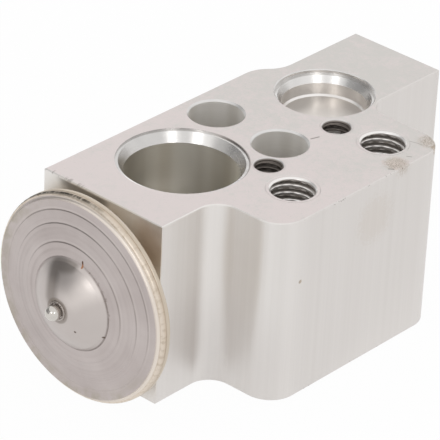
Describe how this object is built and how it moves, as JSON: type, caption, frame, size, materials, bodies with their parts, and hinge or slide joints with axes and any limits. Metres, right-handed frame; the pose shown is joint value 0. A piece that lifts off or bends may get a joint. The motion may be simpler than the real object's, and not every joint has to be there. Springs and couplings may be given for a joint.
{
  "type": "thermostatic expansion valve",
  "caption": "Block-type thermostatic expansion valve: aluminium body with suction and liquid ports, welded power head, sprung ball valve and adjusting screw.",
  "frame": {"origin": "midway between the two fixing holes, in the plane of the evaporator-side face", "axes": "+Z along the ports towards the compressor-side face, +Y along the valve axis away from the power head, +X towards the shoulder"},
  "size_m": [0.0407, 0.0792, 0.0335],
  "materials": {
    "block_aluminium": "bare extruded and machined aluminium, satin",
    "head_steel": "stainless steel with weld tint at the rim",
    "cap_steel": "satin stainless steel stamping",
    "plug_steel": "polished steel",
    "diaphragm_steel": "thin stainless sheet",
    "seal_rubber": "dark rubber",
    "pad_brass": "turned brass",
    "rod_aluminium": "turned aluminium",
    "pin_steel": "ground steel",
    "seat_steel": "turned stainless steel",
    "ball_steel": "polished hardened steel",
    "spring_steel": "drawn spring wire and strip",
    "screw_brass": "turned brass"
  },
  "bodies": {
    "block": {"valve_block": "block_aluminium", "head_base": "head_steel", "head_cap": "cap_steel", "charge_plug": "plug_steel", "diaphragm": "diaphragm_steel", "head_seal": "seal_rubber", "rod_seal": "seal_rubber", "seal_retainer": "pin_steel", "orifice_seat": "seat_steel", "valve_spring": "spring_steel"},
    "train": {"diaphragm_pad": "pad_brass", "sensing_rod": "rod_aluminium", "push_pin": "pin_steel", "valve_ball": "ball_steel", "ball_carrier": "pad_brass", "carrier_damper": "spring_steel"},
    "seal": {"screw_seal": "seal_rubber"},
    "screw": {"adjusting_screw": "screw_brass"}
  },
  "joints": [
    {"name": "valve_lift", "type": "slide", "parent": "block", "child": "train", "axis": [0, 1, 0], "range_m": [0, 0.0008], "stiffness_N_per_m": 8000, "springref_m": -0.003, "deforming": ["valve_spring"]},
    {"name": "screw_travel", "type": "slide", "parent": "block", "child": "seal", "axis": [0, 1, 0], "range_m": [-0.001, 0.001], "deforming": ["valve_spring"]},
    {"name": "screw_turn", "type": "hinge", "parent": "seal", "child": "screw", "pos_m": [0, 0.0353, 0.01525], "axis": [0, 1, 0], "range_deg": [-360, 360]}
  ],
  "couplings": [
    {"joint": "screw_travel", "follows": "screw_turn", "m_per_rad": 0.00015915}
  ]
}
